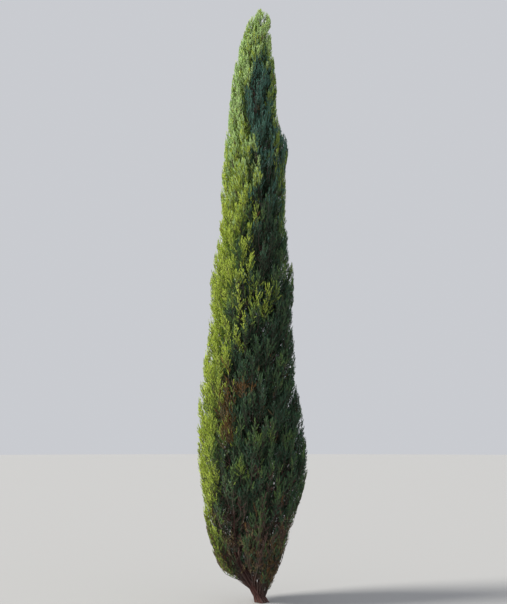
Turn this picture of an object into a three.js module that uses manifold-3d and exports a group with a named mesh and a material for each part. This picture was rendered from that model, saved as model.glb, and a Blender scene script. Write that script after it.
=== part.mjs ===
// Columnar juniper, 6.4 m tall: a slim, dense evergreen column on a bare, leaning foot.
// Millimetres, +Z up. The origin is the middle of the trunk's flat cut at ground level, -X is the crown's
// left side and -Y is its front.
//
// The trunk leans left off its foot, straightens and runs up through the crown to the leader. Steep boughs
// spiral up it. Each bough carries one upright plume of foliage, which keeps to its own share of the crown:
// a core round a stem, with twigs that grow out of the stem and end in toothed sprays.

import * as THREE from "three";
import { mergeVertices } from "three/addons/utils/BufferGeometryUtils.js";
import Module from "manifold-3d";

const wasm = await Module();
wasm.setup();

// Driving dimensions
const TREE_HEIGHT = 6400;
const CLEARANCE = 0.3; // between a limb and what it carries
const GOLDEN_ANGLE = Math.PI * (3 - Math.sqrt(5));

// The crown's outline from the front: height, reach to the left and reach to the right of the foot.
const CROWN_LEVELS = [
  [90, -105, 95],
  [230, -300, 140],
  [360, -450, 190],
  [800, -590, 345],
  [1300, -672, 478],
  [1750, -688, 450],
  [2200, -648, 388],
  [2850, -568, 345],
  [3300, -556, 355],
  [3750, -475, 298],
  [4500, -436, 276],
  [4790, -412, 302],
  [5060, -376, 196],
  [5540, -331, 174],
  [5950, -243, 130],
  [6230, -154, 116],
  [6340, -92, 78],
  [TREE_HEIGHT, -12, 16],
];
const CROWN_DEPTH = 0.96; // front to back, as a share of side to side

// The trunk's middle line and radius: height, place in X, place in Y, radius.
const TRUNK_LEVELS = [
  [0, 0, 0, 61],
  [110, -58, 4, 54],
  [230, -138, 8, 50],
  [370, -214, 10, 46],
  [520, -256, 8, 44],
  [760, -268, 0, 42],
  [1150, -240, -10, 39],
  [1900, -178, 6, 34],
  [3000, -128, 14, 27],
  [4200, -94, -8, 19],
  [5200, -84, 4, 12],
  [5800, -62, 0, 7],
];
const TRUNK_RINGS = [0, 30, 75, 130, 200, 290, 390, 510, 680, 950, 1400, 2100, 3000, 3900, 4900, 5800];
const TRUNK_SIDES = 12;
const ROOT_LOBES = 4;
const ROOT_FLARE = 0.32; // how far the root lobes stand out at the ground, as a share of the radius
const ROOT_FLARE_HEIGHT = 75;

// Plumes of foliage
const PLUME_COUNT = 22; // round the trunk, below the leader's own
const FIRST_PLUME_ANGLE = 0.6;
const PLUME_FROM = 200; // the span of heights that the plumes share
const PLUME_TO = 5900;
const PLUME_OUT = 0.6; // a plume's middle, as a share of the crown's reach
const LEADER_MIDDLE = 6070;
const HEIGHT_COUNTS = 0.42; // against width, when the crown is shared out
const BORDER = 2; // between a plume and the edge of its space
const OVERREACH = 1.02; // how far out a plume may go, as a share of the crown's reach
const FURROW = 0.07; // how far the crown draws in between two plumes, as a share of its reach
const FURROW_WIDTH = 0.3;
const INNER_ZONE = 0.18; // the bare middle of the crown, as a share of its reach

// Stems and boughs
const STEM_DROP = 420; // from a plume's middle down to its stem's foot
const STEM_RISE = 430; // and up to its stem's tip
const STEM_FOOT_OUT = 0.44; // as shares of the crown's reach
const STEM_TIP_OUT = 0.66;
const LOWEST_STEM_FOOT = 230;
const STEM_MARGIN = 22; // between a stem's ends and the edge of its plume's space
const STEM_TIP_RADIUS = 3;
const STEM_TIP_DROP = 130; // from the top of the tree down to the leader's stem tip
const LOWEST_FORK = 95; // where the lowest bough leaves the trunk
const FORK_STEP = 34; // between the forks of the lowest boughs
const BOUGH_SLOPE = 2.3; // rise over run
const BOUGH_BEND_OUT = 0.62; // where a bough bends, as shares of its run and of its rise
const BOUGH_BEND_UP = 0.42;
const BOUGH_SHARE = 0.5; // of the trunk's radius
const THICKEST_BOUGH = 24;
const THINNEST_BOUGH_TIP = 7;
const BOUGH_SIDES = 6;
const BOUGH_RINGS = 4;
const STEM_SIDES = 5;
const STEM_RINGS = 6;

// Cores, twigs and sprays
const CORE_COLUMNS = 10;
const CORE_ROWS = 8;
const CORE_STRETCH = 2.6; // height over width
const CORE_FILL = 0.98; // share of its space that a core fills, high in the crown
const CORE_FILL_LOW = 0.85; // and at the foot of the crown, which is thinner
const THIN_CROWN = [350, 1150]; // the heights between which the crown fills out
const CORE_LOWEST = 190;
const CORE_LONGEST = 400; // reach from its middle, across
const CORE_SHORTEST = 12;
const CORE_STEP = 6;
const CORE_FLUTES = 0.3; // how far every other column draws in at the front, as a share of its reach
const CORE_LUMPS = 0.15; // and how far any point there may
const STAND_OUT = 0.11; // how far sprays stand out of the core, as a share of the crown's reach
const STAND_OUT_RANGE = [28, 52];
const TWIG_COUNT = 235;
const TWIG_SIDES = 3;
const TWIG_RADIUS = 7;
const TWIG_SAG = 20;
const TWIG_LEAD = 150; // how far below a spray's root its twig leaves the stem
const SPRAY_TILT = 0.42; // radians away from upright
const SPRAY_TILT_CHANGE = 0.2; // either way, as a share
const SPRAY_SIZES = [1, 0.82, 0.66, 0.5]; // tried in turn, until a spray fits its plume's space
const SPRAY_WIDTH = 0.2; // half of it, as a share of its length
const SPRAY_THICKNESS = 8;
const SPRAY_ROOT_DEPTH = 46; // how far a spray's root is sunk into the core
const UNEVEN_TIPS = 0.03; // how far spray tips stop short of the outline, as a share of the crown's reach
const TOP_SPRAY_LENGTH = 330;
const TOP_SPRAY_TILT = 0.06;

const up = new THREE.Vector3(0, 0, 1);

// Repeatable numbers from 0 to 1, so that the tree grows the same way every time.
function seeded(seed) {
  const modulus = 2147483647;
  let state = (seed * 7919) % modulus;
  return () => {
    state = (state * 48271) % modulus;
    return state / modulus;
  };
}

// The columns of a table of levels at any height, on a smooth curve through them.
function at(levels, height) {
  const last = levels.length - 1;
  let i = 0;
  while (i < last - 1 && height > levels[i + 1][0]) i += 1;
  const [low, high] = [levels[i], levels[i + 1]];
  const span = high[0] - low[0];
  const t = THREE.MathUtils.clamp((height - low[0]) / span, 0, 1);
  const slope = (j, column) => {
    const before = levels[Math.max(j - 1, 0)];
    const after = levels[Math.min(j + 1, last)];
    return (after[column] - before[column]) / (after[0] - before[0]);
  };
  return low.slice(1).map((value, k) => {
    const column = k + 1;
    const rise = t * t * (3 - 2 * t);
    return (
      value + (high[column] - value) * rise +
      slope(i, column) * span * t * (1 - t) * (1 - t) -
      slope(i + 1, column) * span * t * t * (1 - t)
    );
  });
}

// The crown's middle and half width at a height.
function crown(height) {
  const [left, right] = at(CROWN_LEVELS, height);
  return { middle: (left + right) / 2, half: Math.max((right - left) / 2, 1) };
}

// A point of the crown: a height, an angle round its middle and a share of its reach.
function crownPoint(height, angle, share) {
  const { middle, half } = crown(height);
  return new THREE.Vector3(
    middle + half * share * Math.cos(angle),
    half * share * CROWN_DEPTH * Math.sin(angle),
    height,
  );
}

// How far out a point lies, as a share of the crown's reach at its height.
function shareOut(point) {
  const { middle, half } = crown(point.z);
  return Math.hypot(point.x - middle, point.y / CROWN_DEPTH) / half;
}

function trunkPoint(height) {
  const [x, y] = at(TRUNK_LEVELS, height);
  return new THREE.Vector3(x, y, height);
}

// The height below which a given share of a weight lies, between two heights.
function heightOfShare(share, from, to, weight) {
  const steps = 400;
  const heights = Array.from({ length: steps + 1 }, (_, i) => from + ((to - from) * i) / steps);
  const sums = [0];
  for (let i = 1; i <= steps; i += 1) {
    sums.push(sums[i - 1] + weight((heights[i - 1] + heights[i]) / 2));
  }
  const wanted = share * sums[steps];
  const i = Math.max(sums.findIndex((sum) => sum >= wanted), 1);
  const part = (wanted - sums[i - 1]) / (sums[i] - sums[i - 1]);
  return heights[i - 1] + part * (heights[i] - heights[i - 1]);
}

// Solids

// A three.js geometry as a closed solid.
function solidOf(geometry) {
  const bare = geometry.clone();
  bare.deleteAttribute("normal");
  bare.deleteAttribute("uv");
  const merged = mergeVertices(bare, 1e-3);
  return new wasm.Manifold(
    new wasm.Mesh({
      numProp: 3,
      vertProperties: merged.attributes.position.array,
      triVerts: new Uint32Array(merged.index.array),
    }),
  );
}

// The largest single body of a solid, with any sealed hollow filled and any loose scrap dropped.
function oneBody(solid) {
  return solid.decompose().reduce((best, body) => (body.volume() > best.volume() ? body : best));
}

function geometryOf(solid) {
  const { vertProperties, triVerts } = solid.getMesh();
  const geometry = new THREE.BufferGeometry();
  geometry.setAttribute("position", new THREE.BufferAttribute(vertProperties, 3));
  geometry.setIndex(new THREE.BufferAttribute(triVerts, 1));
  geometry.computeVertexNormals();
  return geometry;
}

// A tapering limb: a cylinder whose rings are laid square across a path. grow thickens and lengthens it.
function limbGeometry({ path, radiusAt, sides, rings, grow = 0 }) {
  const geometry = new THREE.CylinderGeometry(1, 1, 1, sides, rings);
  const { position } = geometry.attributes;
  for (let i = 0; i < position.count; i += 1) {
    const t = position.getY(i) + 0.5;
    const along = path.getTangent(t);
    const side = new THREE.Vector3(0, 1, 0).cross(along).normalize();
    const front = along.clone().cross(side);
    const radius = radiusAt(t) + grow;
    const point = path.getPoint(t);
    point.addScaledVector(along, t < 0.01 ? -grow : t > 0.99 ? grow : 0);
    point.addScaledVector(side, -position.getX(i) * radius);
    point.addScaledVector(front, position.getZ(i) * radius);
    position.setXYZ(i, point.x, point.y, point.z);
  }
  return geometry;
}

// The trunk keeps its rings level, so that the cut at the ground is flat. grow thickens it evenly.
function trunkGeometry(grow) {
  const last = TRUNK_RINGS.length - 1;
  const geometry = new THREE.CylinderGeometry(1, 1, 1, TRUNK_SIDES, last);
  const { position } = geometry.attributes;
  for (let i = 0; i < position.count; i += 1) {
    const ring = Math.round((position.getY(i) + 0.5) * last);
    const height = TRUNK_RINGS[ring];
    const [x, y, radius] = at(TRUNK_LEVELS, height);
    const angle = Math.atan2(position.getX(i), position.getZ(i));
    const out = Math.hypot(position.getX(i), position.getZ(i));
    const lobe = 0.6 + 0.4 * Math.cos(ROOT_LOBES * angle);
    const flare = ROOT_FLARE * lobe * Math.exp(-height / ROOT_FLARE_HEIGHT);
    const reach = out * (radius * (1 + flare) + grow);
    const level = height + (ring === 0 ? -grow : ring === last ? grow : 0);
    position.setXYZ(i, x + reach * Math.sin(angle), y - reach * Math.cos(angle), level);
  }
  return geometry;
}

// A spray of scale leaves: a toothed blade, pointed at its root.
function sprayGeometry(length) {
  const width = length * SPRAY_WIDTH;
  const outline = new THREE.Shape();
  outline.moveTo(0, 0);
  outline.lineTo(width, length * 0.68);
  outline.lineTo(width * 0.4, length * 0.72);
  outline.lineTo(0, length);
  outline.lineTo(-width * 0.42, length * 0.62);
  outline.lineTo(-width, length * 0.56);
  outline.closePath();
  const geometry = new THREE.ExtrudeGeometry(outline, { depth: SPRAY_THICKNESS, bevelEnabled: false });
  return geometry.translate(0, 0, -SPRAY_THICKNESS / 2);
}

// Plumes: where each stands, and the space it keeps to

function plumeList() {
  const plumes = [];
  for (let i = 0; i < PLUME_COUNT; i += 1) {
    const height = heightOfShare((i + 0.5) / PLUME_COUNT, PLUME_FROM, PLUME_TO, (z) => crown(z).half);
    const angle = FIRST_PLUME_ANGLE + i * GOLDEN_ANGLE;
    const number = String(i + 1).padStart(2, "0");
    plumes.push({ name: number, angle, middle: crownPoint(height, angle, PLUME_OUT) });
  }
  plumes.push({ name: "leader", angle: 0, middle: crownPoint(LEADER_MIDDLE, 0, 0) });
  return plumes;
}

const plumes = plumeList();

// The distance from a point to a plume's middle, with height counting for less than width.
function plumeDistance(point, plume) {
  const { middle } = plume;
  return Math.hypot(point.x - middle.x, point.y - middle.y, (point.z - middle.z) * HEIGHT_COUNTS);
}

// The plume whose space holds a point, and how far the point is from the nearest border of that space.
function spaceAt(point) {
  const ranked = plumes
    .map((plume) => ({ plume, distance: plumeDistance(point, plume) }))
    .sort((a, b) => a.distance - b.distance);
  const [own, next] = ranked;
  const apart = plumeDistance(own.plume.middle, next.plume);
  return { plume: own.plume, border: (next.distance ** 2 - own.distance ** 2) / (2 * apart) };
}

// The crown's true reach at a height and angle: it draws in where two plumes meet.
function crownReach(height, angle) {
  const { border } = spaceAt(crownPoint(height, angle, 1));
  const { half } = crown(height);
  return 1 - FURROW * (1 - THREE.MathUtils.smoothstep(border, 0, FURROW_WIDTH * half));
}

// How far the sprays stand out of the core, in millimetres.
function standOut(half) {
  return THREE.MathUtils.clamp(STAND_OUT * half, ...STAND_OUT_RANGE);
}

// Whether a point lies in a plume's space, clear of its border, the crown's bare middle and the ground.
function inSpace(point, plume, margin = BORDER) {
  const { plume: owner, border } = spaceAt(point);
  if (owner !== plume || border < margin || point.z < margin) return false;
  return shareOut(point) < OVERREACH && (plume.name === "leader" || shareOut(point) > INNER_ZONE);
}

// A wished point, drawn in towards its plume's middle until it lies well inside the plume's space.
function drawnIn(wished, plume) {
  const point = wished.clone();
  while (!inSpace(point, plume, STEM_MARGIN)) point.lerp(plume.middle, 0.04);
  return point;
}

// Limbs

// A bough leaves the trunk low and steepens up to the foot of its plume's stem.
function boughOf(plume, i) {
  const lowest = Math.max(plume.middle.z - STEM_DROP, LOWEST_STEM_FOOT);
  const foot = drawnIn(crownPoint(lowest, plume.angle, STEM_FOOT_OUT), plume);
  const run = Math.hypot(foot.x - trunkPoint(foot.z).x, foot.y - trunkPoint(foot.z).y);
  const fork = trunkPoint(Math.max(foot.z - run * BOUGH_SLOPE, LOWEST_FORK + FORK_STEP * i));
  const bend = fork.clone().lerp(foot, BOUGH_BEND_OUT);
  bend.z = THREE.MathUtils.lerp(fork.z, foot.z, BOUGH_BEND_UP);
  const path = new THREE.QuadraticBezierCurve3(fork, bend, foot);
  const [, , trunkRadius] = at(TRUNK_LEVELS, fork.z);
  const thick = Math.min(trunkRadius * BOUGH_SHARE, THICKEST_BOUGH);
  const thin = Math.max(thick / 2, THINNEST_BOUGH_TIP);
  return { path, thin, radiusAt: (t) => THREE.MathUtils.lerp(thick, thin, t) };
}

// The stem of a plume carries on from its bough's tip, or from the trunk's tip for the leader.
function stemOf(plume) {
  if (plume.name === "leader") {
    const [trunkTip, , , thick] = TRUNK_LEVELS.at(-1);
    const foot = trunkPoint(trunkTip);
    const tip = crownPoint(TREE_HEIGHT - STEM_TIP_DROP, 0, 0);
    const bend = foot.clone().lerp(tip, 0.5);
    return { path: new THREE.QuadraticBezierCurve3(foot, bend, tip), thick };
  }
  const { path, thin } = plume.bough;
  const along = path.getTangent(1);
  const foot = path.getPoint(1);
  const tip = drawnIn(crownPoint(plume.middle.z + STEM_RISE, plume.angle, STEM_TIP_OUT), plume);
  const bend = foot.clone().addScaledVector(along, foot.distanceTo(tip) * 0.4);
  return { path: new THREE.QuadraticBezierCurve3(foot, bend, tip), thick: thin };
}

plumes.forEach((plume, i) => {
  if (plume.name !== "leader") plume.bough = boughOf(plume, i);
  plume.stem = stemOf(plume);
});

// Foliage

// The core: a sphere whose points are pushed out until they meet the edge of the plume's space. Every other
// column is drawn back in, so that the core is fluted like a bundle of upright shoots.
function coreGeometry(plume, random) {
  const geometry = new THREE.SphereGeometry(1, CORE_COLUMNS, CORE_ROWS);
  const { position } = geometry.attributes;
  const lumps = Array.from({ length: position.count }, random);
  const outward = leaning(plume.angle, Math.PI / 2);
  for (let i = 0; i < position.count; i += 1) {
    const direction = new THREE.Vector3(position.getX(i), -position.getZ(i), position.getY(i) * CORE_STRETCH);
    const point = plume.middle.clone();
    let reach = 0;
    while (reach < CORE_LONGEST) {
      point.copy(plume.middle).addScaledVector(direction, reach + CORE_STEP);
      const { half } = crown(point.z);
      const outer = 1 - standOut(half) / half;
      if (!inSpace(point, plume) || shareOut(point) > outer || point.z < CORE_LOWEST) break;
      reach += CORE_STEP;
    }
    const full = THREE.MathUtils.smoothstep(plume.middle.z + direction.z * reach, ...THIN_CROWN);
    const fill = THREE.MathUtils.lerp(CORE_FILL_LOW, CORE_FILL, full);
    const row = Math.floor(i / (CORE_COLUMNS + 1));
    const column = i % (CORE_COLUMNS + 1) % CORE_COLUMNS;
    const facing = Math.max(direction.dot(outward), 0);
    const drawIn = CORE_FLUTES * (column % 2) + CORE_LUMPS * lumps[row * CORE_COLUMNS + column];
    const length = Math.max(reach * fill * (1 - drawIn * facing), CORE_SHORTEST);
    point.copy(plume.middle).addScaledVector(direction, length);
    position.setXYZ(i, point.x, point.y, point.z);
  }
  return geometry;
}

// A spray that starts at a point and leans along a direction, turned round its own length.
function placedSpray(root, direction, roll, length) {
  const geometry = sprayGeometry(length);
  const turn = new THREE.Quaternion().setFromUnitVectors(new THREE.Vector3(0, 1, 0), direction);
  const spin = new THREE.Quaternion().setFromAxisAngle(new THREE.Vector3(0, 1, 0), roll);
  geometry.applyQuaternion(turn.multiply(spin));
  return geometry.translate(root.x, root.y, root.z);
}

function pointsOf(geometry) {
  const { position } = geometry.attributes;
  const point = (_, i) => new THREE.Vector3().fromBufferAttribute(position, i);
  return Array.from({ length: position.count }, point);
}

// The outward direction at an angle round the crown, tilted away from upright.
function leaning(angle, tilt) {
  const out = Math.sin(tilt);
  return new THREE.Vector3(Math.cos(angle) * out, Math.sin(angle) * out, Math.cos(tilt));
}

// A twig and its spray. A full spray's tip touches the crown's outline, and a smaller one is tried where it
// would leave the plume's space.
function twigPieces(plume, height, angle, random, limbs) {
  const { half } = crown(height);
  const share = crownReach(height, angle) * (1 - UNEVEN_TIPS * random());
  const tip = crownPoint(height, angle, share);
  const roll = random() * Math.PI;
  const direction = leaning(angle, SPRAY_TILT * (1 + SPRAY_TILT_CHANGE * (2 * random() - 1)));
  const fullLength = (standOut(half) + SPRAY_ROOT_DEPTH) / Math.sin(SPRAY_TILT);
  const root = tip.clone().addScaledVector(direction, -fullLength);
  const { path: stem } = plume.stem;
  const rise = (root.z - TWIG_LEAD - stem.v0.z) / (stem.v2.z - stem.v0.z);
  const start = stem.getPoint(THREE.MathUtils.clamp(rise, 0.04, 0.9));
  const end = root.clone().addScaledVector(direction, TWIG_RADIUS);
  if (end.z < start.z) return [];
  const bend = start.clone().lerp(end, 0.7).addScaledVector(up, -TWIG_SAG);
  const path = new THREE.QuadraticBezierCurve3(start, bend, end);
  const radiusAt = (t) => TWIG_RADIUS * (1 - t / 2);
  const twig = limbGeometry({ path, radiusAt, sides: TWIG_SIDES, rings: 2 });
  for (const size of SPRAY_SIZES) {
    const pieces = [placedSpray(root, direction, roll, fullLength * size), twig];
    const fits = pieces.flatMap(pointsOf).every((point) => inSpace(point, plume));
    const solids = pieces.map(solidOf);
    if (fits && solids.every((solid) => solid.intersect(limbs).isEmpty())) return solids;
  }
  return [];
}

// Every twig's height and angle, even over the whole crown, with the plume that it belongs to.
function twigPlaces() {
  const places = [];
  const weight = (z) => crown(z).half / standOut(crown(z).half);
  for (let i = 0; i < TWIG_COUNT; i += 1) {
    const height = heightOfShare((i + 0.5) / TWIG_COUNT, CROWN_LEVELS[1][0], TREE_HEIGHT, weight);
    const angle = i * GOLDEN_ANGLE;
    places.push({ height, angle, plume: spaceAt(crownPoint(height, angle, 0.9)).plume });
  }
  return places;
}

// The leader's own tip, which is the top of the tree.
function topSpray() {
  const direction = leaning(0, TOP_SPRAY_TILT);
  const root = crownPoint(TREE_HEIGHT, 0, 0).addScaledVector(direction, -TOP_SPRAY_LENGTH);
  return placedSpray(root, direction, 0, TOP_SPRAY_LENGTH);
}

function plumeSolid(plume, places, limbs) {
  const random = seeded(plumes.indexOf(plume) + 1);
  const { path, thick } = plume.stem;
  const radiusAt = (t) => THREE.MathUtils.lerp(thick, STEM_TIP_RADIUS, t);
  const stem = solidOf(limbGeometry({ path, radiusAt, sides: STEM_SIDES, rings: STEM_RINGS }));
  let solid = solidOf(coreGeometry(plume, random)).add(stem).subtract(limbs);
  places.forEach(({ height, angle }) => {
    twigPieces(plume, height, angle, random, limbs).forEach((piece) => {
      solid = solid.add(piece);
    });
  });
  if (plume.name === "leader") solid = solid.add(solidOf(topSpray()));
  return oneBody(solid);
}

// The tree

const BARK = new THREE.MeshStandardMaterial({ color: 0x5d4238, roughness: 0.9, metalness: 0 });
const FOLIAGE_TINTS = [0x7d9147, 0x53683a, 0x46583a, 0x3d4d33].map(
  (color) => new THREE.MeshStandardMaterial({ color, roughness: 0.75, metalness: 0, flatShading: true }),
);

// The left side is the brightest, as the sun has yellowed it, and the right side the darkest.
function foliageMaterial(plume) {
  const away = (1 + Math.cos(plume.angle)) / 2;
  return FOLIAGE_TINTS[Math.min(Math.floor(away * FOLIAGE_TINTS.length), FOLIAGE_TINTS.length - 1)];
}

function node(name, solid, material) {
  const mesh = new THREE.Mesh(geometryOf(solid), material);
  mesh.name = name;
  return mesh;
}

function juniper() {
  const tree = new THREE.Group();
  tree.add(node("trunk", solidOf(trunkGeometry(0)), BARK));

  // Each limb is cut clear of those before it, so limbs holds them all, grown by the clearance.
  let limbs = solidOf(trunkGeometry(CLEARANCE));
  plumes.forEach((plume) => {
    if (!plume.bough) return;
    const { path, radiusAt } = plume.bough;
    const shape = { path, radiusAt, sides: BOUGH_SIDES, rings: BOUGH_RINGS };
    const bough = solidOf(limbGeometry(shape)).subtract(limbs);
    tree.add(node("bough_" + plume.name, oneBody(bough), BARK));
    limbs = limbs.add(solidOf(limbGeometry({ ...shape, grow: CLEARANCE })));
  });

  const places = twigPlaces();
  plumes.forEach((plume) => {
    const own = places.filter((place) => place.plume === plume);
    const solid = plumeSolid(plume, own, limbs);
    tree.add(node("foliage_" + plume.name, solid, foliageMaterial(plume)));
  });
  return tree;
}

export default juniper();
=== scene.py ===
"""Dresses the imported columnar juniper: bark in relief, stems, twigs and scale-leaved sprays.

Metres, +Z up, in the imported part's own frame. -X is the crown's sunny left side and -Y is its front.
The crown is grown again by the part's own rule, from the same numbers, and carried on to finer twigs:
plume, shoot, spray, cord. A cord is one thin string of scale leaves.
"""

import math

import bpy
import numpy as np
from bpy.props import (
    FloatProperty,
    FloatVectorProperty,
    IntProperty,
    PointerProperty,
)
from bpy.types import Operator, Panel, PropertyGroup
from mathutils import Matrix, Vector


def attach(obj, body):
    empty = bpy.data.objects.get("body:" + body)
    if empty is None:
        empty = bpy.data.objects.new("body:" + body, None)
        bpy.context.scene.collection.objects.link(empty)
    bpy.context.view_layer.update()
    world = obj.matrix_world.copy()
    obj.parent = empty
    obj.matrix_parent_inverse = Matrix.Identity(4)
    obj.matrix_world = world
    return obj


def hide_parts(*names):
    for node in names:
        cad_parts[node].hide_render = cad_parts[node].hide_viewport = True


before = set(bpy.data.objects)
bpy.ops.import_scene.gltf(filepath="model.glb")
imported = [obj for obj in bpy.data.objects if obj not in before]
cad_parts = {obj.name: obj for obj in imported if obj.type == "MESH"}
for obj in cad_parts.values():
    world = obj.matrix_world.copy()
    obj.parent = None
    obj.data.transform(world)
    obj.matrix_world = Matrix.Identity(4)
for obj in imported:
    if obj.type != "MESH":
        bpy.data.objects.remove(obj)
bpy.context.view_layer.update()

bl_info = {
    "name": "Columnar Juniper",
    "version": (1, 0, 0),
    "blender": (4, 5, 0),
    "location": "3D View > Sidebar > Juniper",
    "description": "Grows the bark, twigs and sprays of a columnar juniper",
    "category": "Add Mesh",
}

# The part's own numbers

TREE_HEIGHT = 6.4
GOLDEN_ANGLE = math.pi * (3 - math.sqrt(5))

# The crown's outline from the front: height, reach to the left and reach to the right of the foot.
CROWN_LEVELS = np.array([
    (0.09, -0.105, 0.095),
    (0.23, -0.3, 0.14),
    (0.36, -0.45, 0.19),
    (0.8, -0.59, 0.345),
    (1.3, -0.672, 0.478),
    (1.75, -0.688, 0.45),
    (2.2, -0.648, 0.388),
    (2.85, -0.568, 0.345),
    (3.3, -0.556, 0.355),
    (3.75, -0.475, 0.298),
    (4.5, -0.436, 0.276),
    (4.79, -0.412, 0.302),
    (5.06, -0.376, 0.196),
    (5.54, -0.331, 0.174),
    (5.95, -0.243, 0.13),
    (6.23, -0.154, 0.116),
    (6.34, -0.092, 0.078),
    (TREE_HEIGHT, -0.012, 0.016),
])
CROWN_DEPTH = 0.96
LEAST_HALF_WIDTH = 0.001

# The trunk's middle line and radius: height, place in X, place in Y, radius.
TRUNK_LEVELS = np.array([
    (0, 0, 0, 0.061),
    (0.11, -0.058, 0.004, 0.054),
    (0.23, -0.138, 0.008, 0.05),
    (0.37, -0.214, 0.01, 0.046),
    (0.52, -0.256, 0.008, 0.044),
    (0.76, -0.268, 0, 0.042),
    (1.15, -0.24, -0.01, 0.039),
    (1.9, -0.178, 0.006, 0.034),
    (3, -0.128, 0.014, 0.027),
    (4.2, -0.094, -0.008, 0.019),
    (5.2, -0.084, 0.004, 0.012),
    (5.8, -0.062, 0, 0.007),
])
ROOT_LOBES = 4
ROOT_FLARE = 0.32
ROOT_FLARE_HEIGHT = 0.075
ROOT_LOBE_MEAN, ROOT_LOBE_SWING = 0.6, 0.4

PLUME_COUNT = 22
FIRST_PLUME_ANGLE = 0.6
PLUME_SPAN = (0.2, 5.9)
PLUME_OUT = 0.6
LEADER_MIDDLE = 6.07
HEIGHT_COUNTS = 0.42
OVERREACH = 1.02
FURROW = 0.07
FURROW_WIDTH = 0.3
INNER_ZONE = 0.18

STEM_DROP = 0.42
STEM_RISE = 0.43
STEM_FOOT_OUT = 0.44
STEM_TIP_OUT = 0.66
LOWEST_STEM_FOOT = 0.23
STEM_MARGIN = 0.022
DRAW_IN_STEP = 0.04
STEM_BEND = 0.4
STEM_TIP_RADIUS = 0.003
STEM_TIP_DROP = 0.13
LOWEST_FORK = 0.095
FORK_STEP = 0.034
BOUGH_SLOPE = 2.3
BOUGH_BEND_OUT = 0.62
BOUGH_BEND_UP = 0.42
BOUGH_SHARE = 0.5
THICKEST_BOUGH = 0.024
THINNEST_BOUGH_TIP = 0.007

STAND_OUT = 0.11
STAND_OUT_RANGE = (0.028, 0.052)
TWIG_COUNT = 235
TWIG_LEAD = 0.15
SPRAY_TILT = 0.42
SPRAY_TILT_CHANGE = 0.2
HEIGHT_STEPS = 401

FULL_TURN = 2 * math.pi
BACK = np.array((0.0, 1.0, 0.0))
UP = np.array((0.0, 0.0, 1.0))


# Sums on many points at once


def unit(vectors):
    return vectors / np.maximum(np.linalg.norm(vectors, axis=-1, keepdims=True), 1e-9)


def mix(a, b, share):
    return a + (b - a) * share


def smoothstep(x, low, high):
    t = np.clip((x - low) / (high - low), 0, 1)
    return t * t * (3 - 2 * t)


def rising(x, most, low, high):
    """From 0 up to low, to the most from high on."""
    return most * smoothstep(x, low, high)


def falling(x, most, low, high):
    """From the most up to low, to 0 from high on."""
    return most * (1 - smoothstep(x, low, high))


def taken(table, kept):
    """The kept rows of a table whose columns are arrays."""
    return {key: column[kept] for key, column in table.items()}


def at(levels, height):
    """The columns of a table of levels at many heights, on a smooth curve through them."""
    z, columns = levels[:, 0], levels[:, 1:]
    last = len(z) - 1
    before, after = np.maximum(np.arange(last + 1) - 1, 0), np.minimum(np.arange(last + 1) + 1, last)
    slopes = (columns[after] - columns[before]) / (z[after] - z[before])[:, None]
    i = np.clip(np.searchsorted(z, height, side="left") - 1, 0, last - 1)
    span = z[i + 1] - z[i]
    t = np.clip((height - z[i]) / span, 0, 1)[..., None]
    span = span[..., None]
    rise = t * t * (3 - 2 * t)
    return (
        columns[i]
        + (columns[i + 1] - columns[i]) * rise
        + slopes[i] * span * t * (1 - t) ** 2
        - slopes[i + 1] * span * t * t * (1 - t)
    )


def crown(height):
    """The crown's middle and half width at many heights."""
    reach = at(CROWN_LEVELS, np.asarray(height, float))
    left, right = reach[..., 0], reach[..., 1]
    return (left + right) / 2, np.maximum((right - left) / 2, LEAST_HALF_WIDTH)


def crown_point(height, angle, share):
    """Points of the crown: a height, an angle round its middle and a share of its reach."""
    height = np.asarray(height, float)
    middle, half = crown(height)
    x = middle + half * share * np.cos(angle)
    y = half * share * CROWN_DEPTH * np.sin(angle)
    return np.stack(np.broadcast_arrays(x, y, height), axis=-1)


def share_out(points):
    """How far out points lie, as a share of the crown's reach at their heights."""
    middle, half = crown(points[..., 2])
    return np.hypot(points[..., 0] - middle, points[..., 1] / CROWN_DEPTH) / half


def trunk_point(height):
    line = at(TRUNK_LEVELS, np.asarray(height, float))
    return np.stack(np.broadcast_arrays(line[..., 0], line[..., 1], height), axis=-1)


def heights_of_shares(shares, low, high, weight):
    """The heights below which given shares of a weight lie."""
    heights = np.linspace(low, high, HEIGHT_STEPS)
    sums = np.concatenate([[0], np.cumsum(weight((heights[1:] + heights[:-1]) / 2))])
    return np.interp(np.asarray(shares) * sums[-1], sums, heights)


def stand_out(half):
    return np.clip(STAND_OUT * half, *STAND_OUT_RANGE)


def leaning(angle, tilt):
    """Outward directions at angles round the crown, tilted away from upright."""
    out = np.sin(tilt)
    return np.stack(np.broadcast_arrays(np.cos(angle) * out, np.sin(angle) * out, np.cos(tilt)), axis=-1)


def leaned(axis, angle, roll):
    """Directions that lean away from their axes by an angle, on the side that roll says."""
    side = unit(np.cross(axis, BACK))
    front = np.cross(side, axis)
    angle, roll = np.asarray(angle)[..., None], np.asarray(roll)[..., None]
    return axis * np.cos(angle) + (side * np.cos(roll) + front * np.sin(roll)) * np.sin(angle)


def bezier(a, b, c, t):
    t = np.asarray(t)[..., None]
    return a * (1 - t) ** 2 + 2 * b * t * (1 - t) + c * t * t


# Plumes, and the space that each keeps to


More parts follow.
